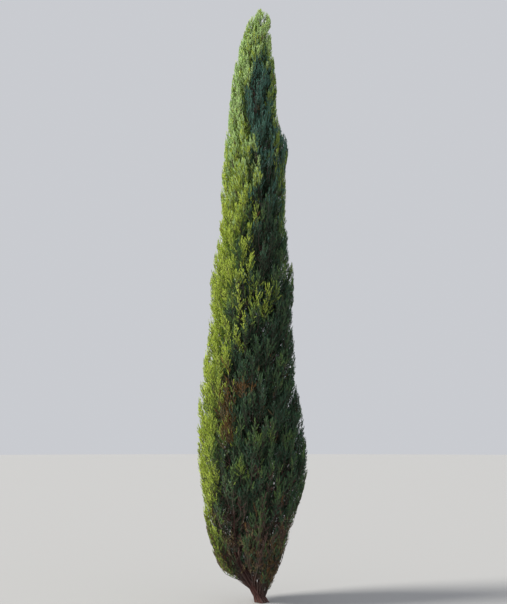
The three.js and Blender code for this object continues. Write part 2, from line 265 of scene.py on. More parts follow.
def plume_places():
    """Every plume's name, angle and middle, with the leader's last."""
    numbers = np.arange(PLUME_COUNT)
    shares = (numbers + 0.5) / PLUME_COUNT
    heights = heights_of_shares(shares, *PLUME_SPAN, lambda z: crown(z)[1])
    angles = np.append(FIRST_PLUME_ANGLE + numbers * GOLDEN_ANGLE, 0)
    middles = np.vstack([
        crown_point(heights, angles[:-1], PLUME_OUT),
        crown_point(LEADER_MIDDLE, 0, 0)[None],
    ])
    return [f"{n + 1:02d}" for n in numbers] + ["leader"], angles, middles


PLUME_NAMES, PLUME_ANGLES, PLUME_MIDDLES = plume_places()
LEADER = PLUME_COUNT
SQUASHED = np.array((1, 1, HEIGHT_COUNTS))


def space_at(points):
    """The plume whose space holds each point, and how far the point is from that space's border."""
    flat = points.reshape(-1, 3) * SQUASHED
    middles = PLUME_MIDDLES * SQUASHED
    squares = (flat**2).sum(1)[:, None] - 2 * flat @ middles.T + (middles**2).sum(1)
    own, following = np.argsort(squares, axis=1)[:, :2].T
    rows = np.arange(len(flat))
    apart = np.linalg.norm(middles[own] - middles[following], axis=1)
    border = (squares[rows, following] - squares[rows, own]) / (2 * apart)
    return own.reshape(points.shape[:-1]), border.reshape(points.shape[:-1])


def crown_reach(height, angle):
    """The crown's true reach: it draws in where two plumes meet."""
    _, border = space_at(crown_point(height, angle, 1))
    _, half = crown(height)
    return 1 - FURROW * (1 - smoothstep(border / (FURROW_WIDTH * half), 0, 1))


def in_space(point, plume, margin):
    """Whether a point lies in a plume's space, by a margin."""
    owner, border = space_at(point[None])
    out = share_out(point)
    held = owner[0] == plume and border[0] >= margin and point[2] >= margin and out < OVERREACH
    return held and (plume == LEADER or out > INNER_ZONE)


def drawn_in(wished, plume):
    """A wished point, drawn in until it lies well inside its plume's space."""
    point = wished
    while not in_space(point, plume, STEM_MARGIN):
        point = mix(point, PLUME_MIDDLES[plume], DRAW_IN_STEP)
    return point


def bough_of(plume):
    """A bough's three control points, with its radii at the trunk and at its tip."""
    lowest = max(PLUME_MIDDLES[plume][2] - STEM_DROP, LOWEST_STEM_FOOT)
    foot = drawn_in(crown_point(lowest, PLUME_ANGLES[plume], STEM_FOOT_OUT), plume)
    run = np.hypot(*(foot - trunk_point(foot[2]))[:2])
    fork = trunk_point(max(foot[2] - run * BOUGH_SLOPE, LOWEST_FORK + FORK_STEP * plume))
    bend = mix(fork, foot, BOUGH_BEND_OUT)
    bend[2] = mix(fork[2], foot[2], BOUGH_BEND_UP)
    thick = min(at(TRUNK_LEVELS, fork[2])[2] * BOUGH_SHARE, THICKEST_BOUGH)
    return (fork, bend, foot), thick, max(thick / 2, THINNEST_BOUGH_TIP)


def stem_of(plume, bough):
    """The control points of a plume's stem, which carries on from its bough or from the trunk's tip."""
    if plume == LEADER:
        foot = trunk_point(TRUNK_LEVELS[-1][0])
        tip = crown_point(TREE_HEIGHT - STEM_TIP_DROP, 0, 0)
        return foot, mix(foot, tip, 0.5), tip
    _, bend, foot = bough
    wished = crown_point(PLUME_MIDDLES[plume][2] + STEM_RISE, PLUME_ANGLES[plume], STEM_TIP_OUT)
    tip = drawn_in(wished, plume)
    return foot, foot + unit(foot - bend) * np.linalg.norm(foot - tip) * STEM_BEND, tip


BOUGHS = [bough_of(plume) for plume in range(PLUME_COUNT)]
STEMS = [stem_of(plume, BOUGHS[plume][0] if plume < LEADER else None) for plume in range(PLUME_COUNT + 1)]


LIMB_POINTS = 24
LEADER_LIMB = 1.2


def limb_line(plume):
    """Points along the wood that carries a plume, from where it leaves the trunk to its stem's tip."""
    t = np.linspace(0, 1, LIMB_POINTS)
    if plume == LEADER:
        lower = trunk_point(np.linspace(LEADER_MIDDLE - LEADER_LIMB, TRUNK_LEVELS[-1][0], LIMB_POINTS))
    else:
        lower = bezier(*BOUGHS[plume][0], t)
    return np.concatenate([lower, bezier(*STEMS[plume], t)[1:]])


LIMB_LINES = [limb_line(plume) for plume in range(PLUME_COUNT + 1)]


# The trunk's foot shows up to this height, in a gap of this half width at its foot and at its top.
BARE_TRUNK = 0.88
BARE_HALF_WIDTHS = (0.095, 0.05)


def before_trunk(points):
    """Whether points lie in front of the bare foot of the trunk."""
    line = at(TRUNK_LEVELS, points[:, 2])
    near = np.abs(points[:, 0] - line[:, 0]) < mix(*BARE_HALF_WIDTHS, points[:, 2] / BARE_TRUNK)
    return near & (points[:, 1] < 0) & (points[:, 2] < BARE_TRUNK)


def on_limbs(plume, height):
    """The point of each plume's wood at a height, or its nearest end."""
    points = np.empty((len(plume), 3))
    for number, line in enumerate(LIMB_LINES):
        own = plume == number
        for axis in range(3):
            points[own, axis] = np.interp(height[own], line[:, 2], line[:, axis])
    return points


# Meshes from arrays


def add_piece(name, points, face_sets, materials, replaced=(), relief=None, grain=None):
    """Makes one joined mesh. Each face set is an array of faces and their material numbers.

    Bark also says how high each point stands above its cracks, and where it lay on a straight limb.
    """
    mesh = bpy.data.meshes.new(name)
    mesh.vertices.add(len(points))
    mesh.vertices.foreach_set("co", np.ascontiguousarray(points, np.float32).ravel())
    loops = np.concatenate([faces.ravel() for faces, _ in face_sets]).astype(np.int32)
    sizes = np.concatenate([np.full(len(faces), faces.shape[1]) for faces, _ in face_sets])
    looks = np.concatenate([np.broadcast_to(look, len(faces)) for faces, look in face_sets])
    mesh.loops.add(len(loops))
    mesh.loops.foreach_set("vertex_index", loops)
    mesh.polygons.add(len(sizes))
    mesh.polygons.foreach_set("loop_start", (np.cumsum(sizes) - sizes).astype(np.int32))
    mesh.polygons.foreach_set("material_index", looks.astype(np.int32))
    mesh.polygons.foreach_set("use_smooth", np.full(len(sizes), True))
    for material in materials:
        mesh.materials.append(material)
    fields = (("relief", "FLOAT", "value", relief), ("grain", "FLOAT_VECTOR", "vector", grain))
    for key, kind, field, values in fields:
        if values is not None:
            attribute = mesh.attributes.new(key, kind, "POINT")
            attribute.data.foreach_set(field, values.astype(np.float32).ravel())
    mesh.update(calc_edges=True)
    mesh.validate()
    piece = bpy.data.objects.new(name, mesh)
    bpy.context.scene.collection.objects.link(piece)
    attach(piece, "root")
    if replaced:
        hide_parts(*replaced)


def ring_faces(tubes, rings, sides):
    """The four-sided faces of many tubes whose points run ring by ring."""
    tube, ring, side = np.meshgrid(np.arange(tubes), np.arange(rings - 1), np.arange(sides), indexing="ij")
    low = (tube * rings + ring) * sides
    high = low + sides
    following = (side + 1) % sides
    return np.stack([low + side, low + following, high + following, high + side], -1).reshape(-1, 4)


def tube_points(lines, radii, sides):
    """Rings of points round many lines, which all run roughly upwards."""
    along = unit(np.gradient(lines, axis=-2))
    side = unit(np.cross(along, BACK))
    front = np.cross(along, side)
    turn = np.arange(sides) * FULL_TURN / sides
    round_it = side[..., None, :] * np.cos(turn)[:, None] + front[..., None, :] * np.sin(turn)[:, None]
    return lines[..., None, :] + round_it * np.asarray(radii)[..., None, None]


def straight_tubes(along, radii):
    """Points of limbs as they would lie on straight ones, from their lengths along and their radii."""
    turn = np.arange(radii.shape[-1]) * FULL_TURN / radii.shape[-1]
    rise = np.broadcast_to(along[..., None], radii.shape)
    return np.stack([radii * np.cos(turn), radii * np.sin(turn), rise], -1).reshape(-1, 3)


# A blade's corners across and along it, and how far its sides are folded up.
BLADE = np.array([(0, 0), (1, 0.4), (0, 1), (-1, 0.34)])
BLADE_FOLD = 0.5


def cord_blades(roots, directions, lengths, widths, rolls):
    """Two-faced blades, widest below their middles and folded along them: their points and faces."""
    side = leaned(directions, np.full(len(roots), math.pi / 2), rolls)
    front = np.cross(directions, side)
    across, up = BLADE[:, 0, None], BLADE[:, 1, None]
    wide, long = widths[:, None, None], lengths[:, None, None]
    lift = front[:, None] * np.abs(across) * BLADE_FOLD
    points = roots[:, None] + wide * (side[:, None] * across + lift) + long * directions[:, None] * up
    corners = np.array([(0, 1, 2), (0, 2, 3)])
    return points.reshape(-1, 3), (np.arange(len(roots))[:, None, None] * 4 + corners).reshape(-1, 3)


def joined_blades(*parts):
    """Blades from several tables, each with the rows to take and their tints: joined points and face sets."""
    points, face_sets, start = [], [], 0
    keys = ("root", "direction", "long", "wide", "roll")
    for table, chosen, look in parts:
        corners, faces = cord_blades(*(table[key][chosen] for key in keys))
        face_sets.append((faces + start, np.repeat(np.broadcast_to(look, len(faces) // 2), 2)))
        points.append(corners)
        start += len(corners)
    return np.concatenate(points), face_sets


def value_noise(across, along, cells, length, seed):
    """Smooth noise from 0 to 1. across goes once round from 0 to 1, along is in metres."""
    rng = np.random.default_rng(seed)
    rows = int(TREE_HEIGHT / length) + 3
    grid = rng.random((rows, cells))
    u, v = (across % 1) * cells, np.clip(along / length, 0, rows - 2)
    i, j = np.floor(u).astype(int), np.floor(v).astype(int)
    s, t = smoothstep(u - i, 0, 1), smoothstep(v - j, 0, 1)
    low = mix(grid[j, i % cells], grid[j, (i + 1) % cells], s)
    high = mix(grid[j + 1, i % cells], grid[j + 1, (i + 1) % cells], s)
    return mix(low, high, t)


# Bark: the cells of its strips and strings round a limb and their length, how fast they wind round it as they
# climb, and how each rises out of its crack.
FIBRE_WANDER, WANDER_CELLS = 0.05, (5, 0.12)
STRIP_CELLS, STRIP_WIND, STRIP_EDGES = (17, 0.13), 0.2, (0.02, 0.4)
STRING_CELLS, STRING_WIND, STRING_EDGES = (41, 0.06), 0.28, (0.0, 0.7)
STRIP_SHARE, STRING_SHARE = 0.45, 0.55


def fibres(across, along, seed):
    """Stringy bark: narrow upright strips, from 0 in a crack to 1 on a strip."""
    across = across + FIBRE_WANDER * value_noise(across, along, *WANDER_CELLS, seed + 2)
    coarse = value_noise(across + along * STRIP_WIND, along, *STRIP_CELLS, seed)
    fine = value_noise(across + along * STRING_WIND, along, *STRING_CELLS, seed + 1)
    strips = smoothstep(np.abs(2 * coarse - 1), *STRIP_EDGES)
    strings = smoothstep(np.abs(2 * fine - 1), *STRING_EDGES)
    return strips * (STRIP_SHARE + STRING_SHARE * strings)


# Shader expressions


def put(tree, socket, value):
    """Links a value to a node's socket, or sets the socket to it."""
    if isinstance(value, Socket):
        tree.links.new(value.socket, socket)
    else:
        socket.default_value = value


class Socket:
    """A node socket that can be reckoned with, so that an expression on values adds its Math nodes."""

    def __init__(self, tree, socket):
        self.tree, self.socket = tree, socket

    def _math(self, operation, *values):
        node = self.tree.nodes.new("ShaderNodeMath")
        node.operation = operation
        for place, value in enumerate(values):
            put(self.tree, node.inputs[place], value)
        return Socket(self.tree, node.outputs[0])

    def __add__(self, other):
        return self._math("ADD", self, other)

    def __sub__(self, other):
        return self._math("SUBTRACT", self, other)

    def __rsub__(self, other):
        return self._math("SUBTRACT", other, self)

    def __mul__(self, other):
        return self._math("MULTIPLY", self, other)

    __radd__, __rmul__ = __add__, __mul__


class Surface:
    """A material made of one Principled shader and the nodes that feed it."""

    def __init__(self, name, roughness, specular):
        self.material = bpy.data.materials.new(name)
        self.material.use_nodes = True
        self.tree = self.material.node_tree
        self.shader = self.tree.nodes["Principled BSDF"]
        self.shader.inputs["Roughness"].default_value = roughness
        self.shader.inputs["Specular IOR Level"].default_value = specular

    def node(self, kind, settings=None, out=0, **values):
        """Any other node, from its type, its settings and the values or links of its sockets."""
        node = self.tree.nodes.new(kind)
        for key, value in (settings or {}).items():
            setattr(node, key, value)
        for key, value in values.items():
            put(self.tree, node.inputs[key.replace("_", " ")], value)
        return Socket(self.tree, node.outputs[out])

    def noise(self, place, scale, detail, roughness=0.5):
        return self.node("ShaderNodeTexNoise", Vector=place, Scale=scale, Detail=detail, Roughness=roughness)

    def spread(self, value, low, high):
        """A value between two others, as a share from 0 to 1."""
        return self.node("ShaderNodeMapRange", Value=value, From_Min=low, From_Max=high)

    def blend(self, share, a, b):
        """A colour between two others."""
        node = self.tree.nodes.new("ShaderNodeMix")
        node.data_type = "RGBA"
        put(self.tree, node.inputs[0], share)
        for place, value in ((6, a), (7, b)):
            put(self.tree, node.inputs[place], value if isinstance(value, Socket) else (*value, 1))
        return Socket(self.tree, node.outputs[2])

    def feed(self, name, value):
        self.tree.links.new(value.socket, self.shader.inputs[name])


LEAF_GLOSS = (0.7, 0.15)
TWIG_GLOSS = (0.8, 0.3)
FLOOR_GLOSS = (0.9, 0.2)
BARK_GLOSS = (0.9, 0.25)


def plain_surface(name, colour, roughness, specular):
    surface = Surface(name, roughness, specular)
    surface.shader.inputs["Base Color"].default_value = (*colour, 1)
    return surface.material


# The bark's fine grain: how fibres are drawn out, how much finer hairs are and how much coarser strips, how
# large the patches are, and between which values shreds, cracks and weathering run.
FIBRE_STRETCH = 0.07
TRUNK_GRAIN, BOUGH_GRAIN, STEM_GRAIN = 60, 95, 120
HAIR_GRAIN, STRIP_GRAIN, PATCH_GRAIN = 3.5, 0.25, 9
THREAD_SHARE, HAIR_SHARE = 0.65, 0.35
SHREDS, CRACKS, WEATHERING = (0.4, 0.6), (0.15, 0.9), (0.44, 0.6)
CRACK_ROUGHNESS, STRIP_SHEEN = 0.95, 0.15
SHRED_HEIGHT = 0.003


def bark_surface(name, bark, grain):
    """Shredding bark: long fibres, paler where they have weathered, and dark in the cracks, partly its own
    colour and partly painted shade.
    """
    surface = Surface(name, *BARK_GLOSS)
    place = surface.node("ShaderNodeAttribute", {"attribute_name": "grain"}, out=1)
    relief = surface.node("ShaderNodeAttribute", {"attribute_name": "relief"}, out=2)
    stretched = surface.node("ShaderNodeMapping", Vector=place, Scale=(1, 1, FIBRE_STRETCH))
    threads = surface.noise(stretched, grain, detail=8, roughness=0.7)
    hairs = surface.noise(stretched, grain * HAIR_GRAIN, detail=4, roughness=0.6)
    strips = surface.noise(stretched, grain * STRIP_GRAIN, detail=3)
    patches = surface.noise(place, PATCH_GRAIN, detail=3)
    shreds = surface.spread(threads * THREAD_SHARE + hairs * HAIR_SHARE, *SHREDS)
    # crack: the bark's own darker colour in its cracks, deepened as painted shade where the relief sinks.
    crack = surface.spread(relief * 0.5 + shreds * 0.5, *CRACKS)
    weathered = surface.spread(strips * 0.5 + patches * 0.5, *WEATHERING)
    body = surface.blend(weathered * crack, bark.fibre, bark.weathered)
    surface.feed("Base Color", surface.blend(crack, bark.crack, body))
    surface.feed("Roughness", CRACK_ROUGHNESS - crack * STRIP_SHEEN)
    bump = surface.node("ShaderNodeBump", Strength=1.0, Distance=SHRED_HEIGHT, Height=shreds)
    surface.feed("Normal", bump)
    return surface.material


# Settings that a user would change


def length(name, description, default, low=0.0001, high=10.0):
    return FloatProperty(
        name=name, description=description, default=default,
        min=low, max=high, subtype="DISTANCE", unit="LENGTH",
    )


def colour(name, description, default):
    return FloatVectorProperty(
        name=name, description=description, default=default, min=0, max=1, size=3, subtype="COLOR"
    )


def degrees(name, description, default):
    return FloatProperty(name=name, description=description, default=math.radians(default), subtype="ANGLE")


class JuniperFoliage(PropertyGroup):
    shoot_sets: IntProperty(
        name="Shoot sets", description="Shoots for each twig of the part", default=11, min=1, max=12
    )
    sprays: IntProperty(name="Sprays", description="Sprays on one shoot", default=11, min=1, max=40)
    cords: IntProperty(name="Cords", description="Cords on one spray", default=14, min=1, max=60)
    shoot_length: length("Shoot length", "Leafy length of the longest shoots", 0.24)
    spray_length: length("Spray length", "Length of the longest sprays", 0.08)
    cord_length: length("Cord length", "Length of the longest cords", 0.028)
    cord_width: length("Cord width", "Half width of a cord", 0.0031)


class JuniperColours(PropertyGroup):
    # sunlit_tip down to inner are one foliage green in steps of painted light: painted sunlight on sunlit_tip
    # and sunlit, middle greens on fresh and green, and painted shade on deep, shade and inner.
    sunlit_tip: colour("Sunlit tips", "Tips on the sunny side", (0.56, 0.68, 0.11))
    sunlit: colour("Sunlit", "Sprays on the sunny side", (0.42, 0.535, 0.08))
    fresh: colour("Fresh green", "Tips on the other sides", (0.28, 0.39, 0.08))
    green: colour("Green", "Sprays on the other sides", (0.15, 0.25, 0.08))
    deep: colour("Deep green", "Sprays within the crown", (0.088, 0.166, 0.074))
    shade: colour("Blue green", "Sprays on the shady side", (0.06, 0.124, 0.074))
    inner: colour("Inner", "Old sprays next to the wood", (0.038, 0.072, 0.04))
    # silver and blue are painted sunlight and painted shade, made paler and bluer by painted haze near the
    # top.
    silver: colour("Silvery green", "Sunlit sprays near the top", (0.54, 0.73, 0.3))
    blue: colour("Blue", "Shaded sprays near the top", (0.106, 0.238, 0.182))
    rust: colour("Rust", "Dead sprays", (0.2, 0.112, 0.04))
    straw: colour("Straw", "Drying sprays", (0.22, 0.175, 0.085))
    withered: colour("Withered", "Brown old sprays near the foot", (0.145, 0.088, 0.072))
    old_twig: colour("Old twigs", "Foot of the fine twigs", (0.115, 0.07, 0.058))
    twig: colour("Twigs", "Middle of the fine twigs", (0.085, 0.062, 0.052))
    young_twig: colour("Young twigs", "Leafy end of the fine twigs", (0.085, 0.082, 0.045))


class JuniperBark(PropertyGroup):
    # The cracks' colour: the bark's own darker colour there, deepened as painted shade.
    crack: colour("Cracks", "Bark in the cracks", (0.03, 0.017, 0.014))
    fibre: colour("Fibres", "Fresh reddish bark", (0.155, 0.064, 0.053))
    weathered: colour("Weathered", "Weathered grey bark", (0.2, 0.135, 0.122))
    relief: length("Relief", "How deep the bark's cracks are at the foot", 0.009)


class JuniperStage(PropertyGroup):
    floor: colour("Floor", "Pale studio floor", (0.43, 0.43, 0.43))
    sky: colour("Backdrop", "Pale studio backdrop", (0.86, 0.88, 0.93))
    fill: FloatProperty(name="Fill", description="Strength of the light from all round", default=0.68, min=0)
    key: FloatProperty(name="Key", description="Strength of the key light", default=4.3, min=0)
    key_turn: degrees("Key turn", "Side that the key light comes from", 280)
    key_height: degrees("Key height", "Key light above the horizon", 40)
    key_spread: degrees("Key spread", "How wide the key light is, which softens its shadow", 20)
    eye_height: length("Eye height", "Camera above the ground", 1.6)
    eye_distance: length("Eye distance", "Camera in front of the tree", 8.78, high=100)
    eye_side: length("Eye side", "Camera to the right of the foot", -0.085, low=-10)
    eye_pitch: degrees("Eye pitch", "Camera tilted up from level", 9.35)
    lens: FloatProperty(name="Lens", description="Focal length in millimetres", default=50, min=1)


# Limbs

TRUNK_SIDES = 128
TRUNK_RINGS = ((0, 0.6, 0.005), (0.6, 5.8, 0.08))
TRUNK_FIBRES = 3
TRUNK_SKIN = 0.8
LEAST_RELIEF = 0.15

BOUGH_SIDES, BOUGH_RINGS = 18, 46
BOUGH_FIBRES = 20
BOUGH_SKIN = 0.7
BOUGH_RELIEF = 0.55
BOUGH_COLLAR, COLLAR_LENGTH = 0.5, 0.05
# How far round and along the bark's pattern is shifted from one bough to the next.
BOUGH_SHIFT = (0.37, 0.2)

STEM_SIDES, STEM_RINGS = 9, 16


def trunk_radius(height, angle):
    """The part's trunk, whose roots flare in lobes at the ground."""
    lobe = ROOT_LOBE_MEAN + ROOT_LOBE_SWING * np.cos(ROOT_LOBES * angle)
    flare = ROOT_FLARE * lobe * np.exp(-height / ROOT_FLARE_HEIGHT)
    return at(TRUNK_LEVELS, height)[..., 2] * (1 + flare)


class JUNIPER_OT_trunk(Operator):
    """Grow the trunk's bark in relief"""

    bl_idname = "juniper.trunk"
    bl_label = "Trunk"

    def execute(self, context):
        bark = context.scene.juniper_bark
        heights = np.concatenate([*(np.arange(*rings) for rings in TRUNK_RINGS), [TRUNK_LEVELS[-1][0]]])
        side = np.arange(TRUNK_SIDES)
        turn = side * FULL_TURN / TRUNK_SIDES
        height, angle = np.meshgrid(heights, turn, indexing="ij")
        thickness = at(TRUNK_LEVELS, height)[..., 2] / TRUNK_LEVELS[0][3]
        depth = bark.relief * np.clip(thickness, LEAST_RELIEF, 1)
        rough = fibres(angle / FULL_TURN, height, TRUNK_FIBRES)
        radius = trunk_radius(height, angle) + depth * (rough - TRUNK_SKIN)
        line = at(TRUNK_LEVELS, heights)
        straight = np.stack([radius * np.sin(angle), -radius * np.cos(angle), height], -1)
        points = straight + np.stack([line[:, 0], line[:, 1], 0 * heights], -1)[:, None]
        faces = ring_faces(1, len(heights), TRUNK_SIDES)
        caps = np.stack([side[::-1], side + (len(heights) - 1) * TRUNK_SIDES])
        material = bark_surface("bark", bark, TRUNK_GRAIN)
        add_piece(
            "trunk_bark", points.reshape(-1, 3), [(faces, 0), (caps, 0)], [material], ["trunk"],
            relief=rough, grain=straight,
        )
        return {"FINISHED"}


class JUNIPER_OT_boughs(Operator):
    """Grow the boughs' bark in relief"""

    bl_idname = "juniper.boughs"
    bl_label = "Boughs"

    def execute(self, context):
        bark = context.scene.juniper_bark
        t = np.linspace(0, 1, BOUGH_RINGS)
        turn = np.arange(BOUGH_SIDES) / BOUGH_SIDES
        shift_round, shift_along = BOUGH_SHIFT
        points, reliefs, straights = [], [], []
        for plume, (path, thick, thin) in enumerate(BOUGHS):
            line = bezier(*path, t)
            along = np.concatenate([[0], np.cumsum(np.linalg.norm(np.diff(line, axis=0), axis=1))])
            radius = mix(thick, thin, t) * (1 + BOUGH_COLLAR * np.exp(-along / COLLAR_LENGTH))
            across, up = turn[None] + plume * shift_round, along[:, None] + plume * shift_along
            rough = fibres(across, up, BOUGH_FIBRES)
            out = tube_points(line, np.ones(BOUGH_RINGS), BOUGH_SIDES) - line[:, None]
            relief = bark.relief * BOUGH_RELIEF * (rough - BOUGH_SKIN) * (radius[:, None] / thick)
            reach = radius[:, None] + relief
            points.append((line[:, None] + out * reach[..., None]).reshape(-1, 3))
            reliefs.append(rough.ravel())
            straights.append(straight_tubes(along[None] + plume, reach[None]))
        faces = ring_faces(len(BOUGHS), BOUGH_RINGS, BOUGH_SIDES)
        material = bark_surface("bough_bark", bark, BOUGH_GRAIN)
        names = [f"bough_{name}" for name in PLUME_NAMES[:LEADER]]
        add_piece(
            "boughs_bark", np.concatenate(points), [(faces, 0)], [material], names,
            relief=np.concatenate(reliefs), grain=np.concatenate(straights),
        )
        return {"FINISHED"}


class JUNIPER_OT_stems(Operator):
    """Grow the plumes' own stems"""

    bl_idname = "juniper.stems"
    bl_label = "Stems"

    def execute(self, context):
        bark = context.scene.juniper_bark
        t = np.linspace(0, 1, STEM_RINGS)
        lines = np.array([bezier(*stem, t) for stem in STEMS])
        thick = np.array([*(thin for _, _, thin in BOUGHS), TRUNK_LEVELS[-1][3]])
        radii = mix(thick[:, None], STEM_TIP_RADIUS, t)
        points = tube_points(lines, radii, STEM_SIDES).reshape(-1, 3)
        faces = ring_faces(len(STEMS), STEM_RINGS, STEM_SIDES)
        material = bark_surface("stem_bark", bark, STEM_GRAIN)
        lengths = np.linalg.norm(lines[:, -1] - lines[:, 0], axis=1)
        along = t * lengths[:, None] + np.arange(len(STEMS))[:, None]
        grain = straight_tubes(along, np.repeat(radii[..., None], STEM_SIDES, -1))
        relief = np.full(len(points), BOUGH_SKIN)
        add_piece("stems", points, [(faces, 0)], [material], relief=relief, grain=grain)
        return {"FINISHED"}


# Shoots

# The part's twigs grow in several sets, each shifted up the crown and turned round it, with more shoots on
# the rim at the right, mostly low.
SHOOT_SEED = 31
SET_SHIFT, SET_TURN = 0.382, 2.1
RIM_COUNT = 76
RIM_HEIGHTS, RIM_LOWER, RIM_SPREAD = (0.85, 4.7), 1.6, 0.4
SHOOT_TURN, SHOOT_RISE = 0.16, 0.06
SHOOT_HEIGHTS = (0.24, TREE_HEIGHT - 0.005)
PLUME_REACH = 0.9
INNER_EVERY, INNER_DEPTH = 3, 0.17
TIP_REACH, TIP_RAGGED = 0.975, 0.1
SHOOT_SIZES = (0.6, 1.2)
SHOOT_TWIST = 0.8
ABOVE_BEND, BELOW_BEND = 0.45, 0.55
LEAD_SIZES = (0.6, 1.5)
# The foot is thin, most of all on its right, where the crown fills out higher up.
BARE_SIDE = (-0.75, 0.1)
THIN_BELOW, FULL_FROM, FULL_LATER = 0.4, 0.75, 0.35
THINNED = (0.05, 0.35)
# Low shoots stand steep and nearly straight, and higher ones sweep out and up.
LOW_SHOOTS, SWEEPING_SHOOTS = 0.9, 1.7
LEAST_SLOPE, LEAST_RISE = 0.55, 0.02
SWEEP, LOW_SWEEP = 0.45, 0.35
SHOOTS_BEFORE_TRUNK = 0.1


def twigs_for_height(height):
    """How many of the part's twigs the crown holds at a height, beside other heights."""
    _, half = crown(height)
    return half / stand_out(half)


def grow_shoots(settings):
    """Every shoot's plume, foot on the wood, bend, root, leafy line and size, as arrays."""
    rng = np.random.default_rng(SHOOT_SEED)
    sets = np.repeat(np.arange(settings.shoot_sets), TWIG_COUNT)
    number = np.tile(np.arange(TWIG_COUNT), settings.shoot_sets)
    shares = (number + (sets * SET_SHIFT + 0.5) % 1) / TWIG_COUNT
    height = heights_of_shares(shares, CROWN_LEVELS[1][0], TREE_HEIGHT, twigs_for_height)
    angle = number * GOLDEN_ANGLE + sets * SET_TURN
    sets = np.append(sets, np.ones(RIM_COUNT, int))
    height = np.append(height, mix(*RIM_HEIGHTS, rng.random(RIM_COUNT) ** RIM_LOWER))
    angle = np.append(angle, rng.normal(0, RIM_SPREAD, RIM_COUNT))
    count = len(height)
    fresh = sets > 0
    angle = angle + fresh * rng.uniform(-SHOOT_TURN, SHOOT_TURN, count)
    height = np.clip(height + fresh * rng.uniform(-SHOOT_RISE, SHOOT_RISE, count), *SHOOT_HEIGHTS)
    plume, _ = space_at(crown_point(height, angle, PLUME_REACH))
    _, half = crown(height)
    inner = np.where(sets % INNER_EVERY == INNER_EVERY - 1, INNER_DEPTH, 0.0)
    reach = crown_reach(height, angle) * (TIP_REACH - inner - TIP_RAGGED * rng.random(count) ** 2)
    tip = crown_point(height, angle, reach)
    tilt = SPRAY_TILT * (1 + 2 * SPRAY_TILT_CHANGE * (2 * rng.random(count) - 1))
    size = np.clip(0.5 + 0.5 * stand_out(half) / STAND_OUT_RANGE[1], 0, 1) * rng.uniform(*SHOOT_SIZES, count)
    leafy = settings.shoot_length * size
    below = leaning(angle, tilt)
    above = leaning(angle + rng.uniform(-SHOOT_TWIST, SHOOT_TWIST, count), tilt * 0.5)
    middle = tip - above * leafy[:, None] * ABOVE_BEND
    root = middle - below * leafy[:, None] * BELOW_BEND
    foot = on_limbs(plume, root[:, 2] - TWIG_LEAD * rng.uniform(*LEAD_SIZES, count))
    bare = smoothstep(np.cos(angle), *BARE_SIDE)
    sparse = 1 - smoothstep(height, THIN_BELOW, FULL_FROM + FULL_LATER * bare)
    steep = (root[:, 2] - foot[:, 2]) > LEAST_SLOPE * np.hypot(*(root - foot)[:, :2].T)
    kept = (rng.random(count) > sparse * mix(*THINNED, bare)) & (steep | (height > LOW_SHOOTS))
    kept &= root[:, 2] > foot[:, 2] + LEAST_RISE
    swept = root - below * (SWEEP * np.linalg.norm(root - foot, axis=1))[:, None]
    sweep = mix(LOW_SWEEP, 1, smoothstep(height, LOW_SHOOTS, SWEEPING_SHOOTS))
    bend = mix(mix(foot, root, 0.5), swept, sweep[:, None])
    shoots = dict(
        plume=plume, foot=foot, bend=bend, root=root, middle=middle, tip=tip, size=size,
        inner=inner, sparse=sparse,
    )
    low = grow_low_shoots()
    shoots = {key: np.concatenate([value[kept], low[key]]) for key, value in shoots.items()}
    halfway = mix(shoots["bend"], shoots["root"], 0.5)
    clear = ~(before_trunk(halfway) | before_trunk(shoots["middle"]))
    kept = clear | (rng.random(len(clear)) < SHOOTS_BEFORE_TRUNK)
    return taken(shoots, kept)


# Low shoots. Of each pair the first is for the skirt and the second for the brush.
LOW_SEED = 16
LOW_COUNTS = (110, 100)
LOW_ANGLES = ((math.pi, 0.8), (-0.5, 1.3))
LOW_FEET = ((0.1, 0.34), (0.02, 0.12))
LOW_TIPS = ((0.33, 0.75), (0.2, 0.75))
LOW_REACHES = (0.97, 0.9)
LOW_LEAFLESS = (0.45, 0.3)
LOW_LIFTS = (-0.02, 0.02)
LOW_SAGS = (0.02, 0)
LOW_SIZES = (0.45, 0.8)
LOW_LIMIT = 0.98
LOW_FOOT_OUT, LOW_BOW = 0.04, 0.01
SHORTEST_LOW = 0.12


def grow_low_shoots():
    """A skirt of shoots spreading low at the trunk's left, and a brush of upright ones round its foot."""
    rng = np.random.default_rng(LOW_SEED)
    count = sum(LOW_COUNTS)
    skirt = np.arange(count) < LOW_COUNTS[0]
    angle = np.where(skirt, *(rng.normal(*spread, count) for spread in LOW_ANGLES))
    foot_height = np.where(skirt, *(rng.uniform(*heights, count) for heights in LOW_FEET))
    height = np.where(skirt, *(rng.uniform(*heights, count) for heights in LOW_TIPS))
    out = np.stack([np.cos(angle), np.sin(angle), np.zeros(count)], -1)
    foot = trunk_point(foot_height) + out * LOW_FOOT_OUT
    tip = crown_point(height, angle, np.where(skirt, *LOW_REACHES))
    tip = np.where((share_out(tip) < LOW_LIMIT)[:, None], tip, trunk_point(height))
    foot[:, 2] = np.minimum(foot[:, 2], tip[:, 2] - SHORTEST_LOW)
    root = mix(foot, tip, np.where(skirt, *LOW_LEAFLESS)[:, None]) + np.where(skirt, *LOW_LIFTS)[:, None] * UP
    middle = mix(root, tip, 0.5) + out * LOW_BOW - np.where(skirt, *LOW_SAGS)[:, None] * UP
    size = rng.uniform(*LOW_SIZES, count)
    plume, _ = space_at(tip)
    bend = mix(foot, root, 0.5) + out * LOW_BOW
    return dict(
        plume=plume, foot=foot, bend=bend, root=root, middle=middle, tip=tip, size=size,
        inner=np.zeros(count), sparse=np.ones(count),
    )


def places_along(rng, count, per, first, part):
    """The numbers of the things on each of many lines, and their places along it, even but for chance."""
    number = np.tile(np.arange(per), (count, 1))
    return number, first + part * (number + rng.uniform(0, 1, number.shape)) / per


